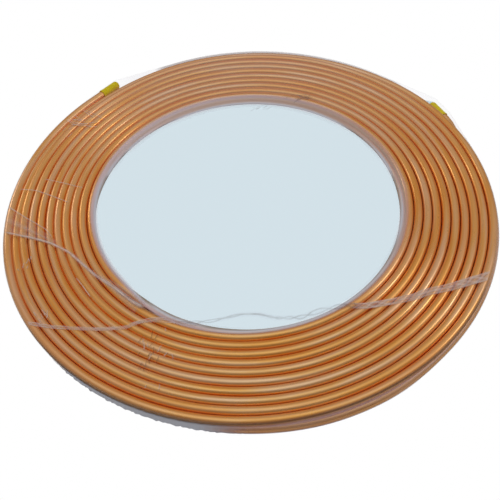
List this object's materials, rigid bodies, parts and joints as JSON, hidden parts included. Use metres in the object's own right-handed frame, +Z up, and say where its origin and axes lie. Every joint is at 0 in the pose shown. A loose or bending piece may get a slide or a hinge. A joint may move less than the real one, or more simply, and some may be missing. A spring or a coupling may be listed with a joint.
{
  "type": "copper tube coil",
  "caption": "Flat coil of soft copper tube in two layers, both ends capped at the rim, wrapped in clear film, as sold for refrigeration pipework.",
  "frame": {"origin": "on the coil's axis, at the level of the floor it lies on", "axes": "+Z up along the coil's axis; seen from above the upper layer is wound inwards anticlockwise, and both capped ends lie on the +Y half of the rim, the upper one towards -X and the lower one towards +X"},
  "size_m": [0.5479, 0.5388, 0.0204],
  "materials": {
    "copper": "bright drawn copper, smooth, with light handling marks",
    "yellow_plastic": "soft moulded plastic, slightly translucent",
    "clear_film": "clear polyethylene film, taut, with a few creases"
  },
  "bodies": {
    "root": {"tube_coil": "copper", "upper_end_cap": "yellow_plastic", "lower_end_cap": "yellow_plastic", "wrap_film": "clear_film"}
  },
  "joints": []
}
